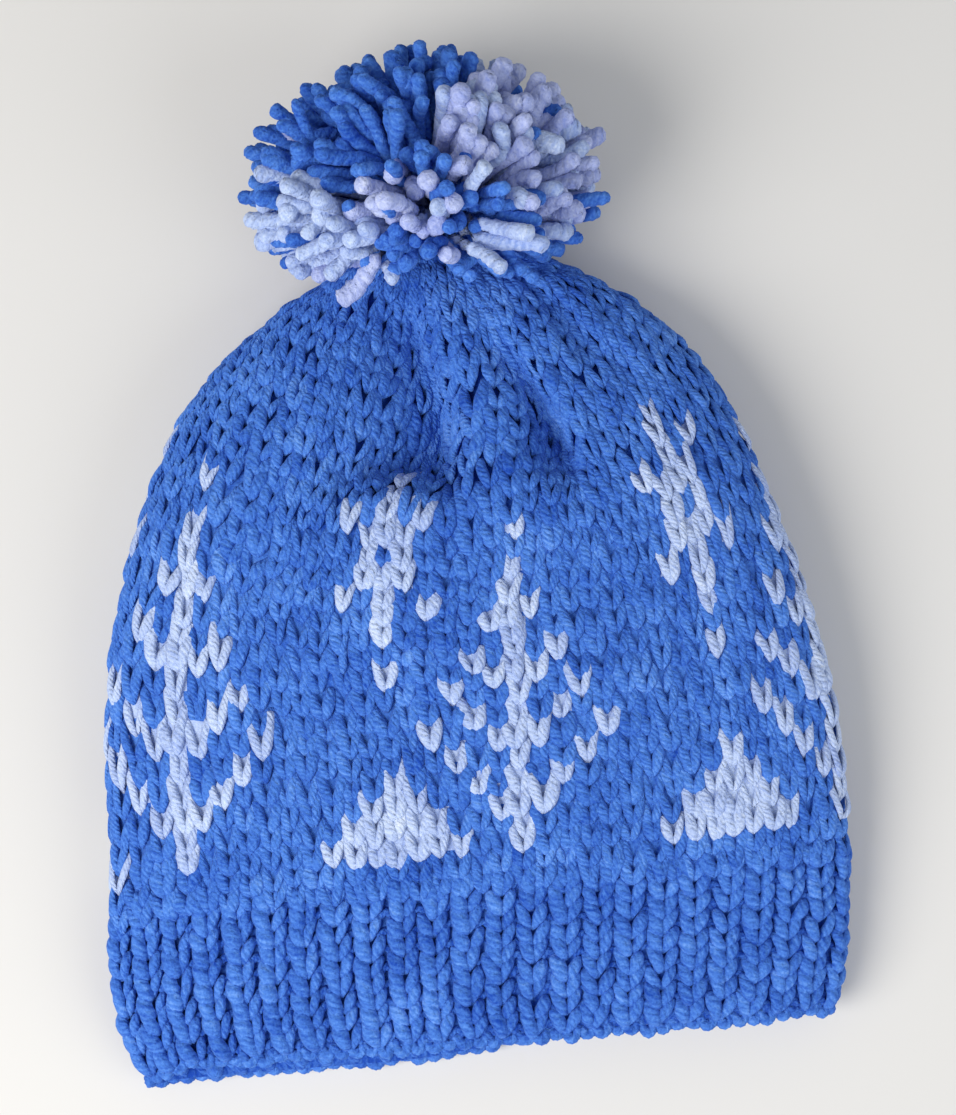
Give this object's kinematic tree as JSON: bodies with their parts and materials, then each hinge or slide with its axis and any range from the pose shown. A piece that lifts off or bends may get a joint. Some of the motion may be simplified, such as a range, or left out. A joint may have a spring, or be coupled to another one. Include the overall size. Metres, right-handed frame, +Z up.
{
  "type": "knitted bobble hat",
  "caption": "Soft hand-knitted hat lying flat: ribbed brim, patterned tubular body, crown gathered in pleats and a loose yarn pompom.",
  "frame": {"origin": "centre of the base: the middle of the object's length and width, on the surface that the hat lies on", "axes": "+Z up from the surface, +Y from the mouth to the pompom, +X to the right seen from above with the pompom away"},
  "size_m": [0.199, 0.2672, 0.0678],
  "materials": {
    "blue_yarn": "soft matt plied yarn, hand knitted",
    "white_yarn": "soft matt plied yarn, hand knitted",
    "pompom_yarn": "loose cut ends of blue and white plied yarn"
  },
  "bodies": {
    "root": {"rib_brim": "blue_yarn", "knit_body": "blue_yarn", "gathered_crown": "blue_yarn", "pompom": "pompom_yarn", "pompom_tie": "white_yarn"}
  },
  "joints": []
}
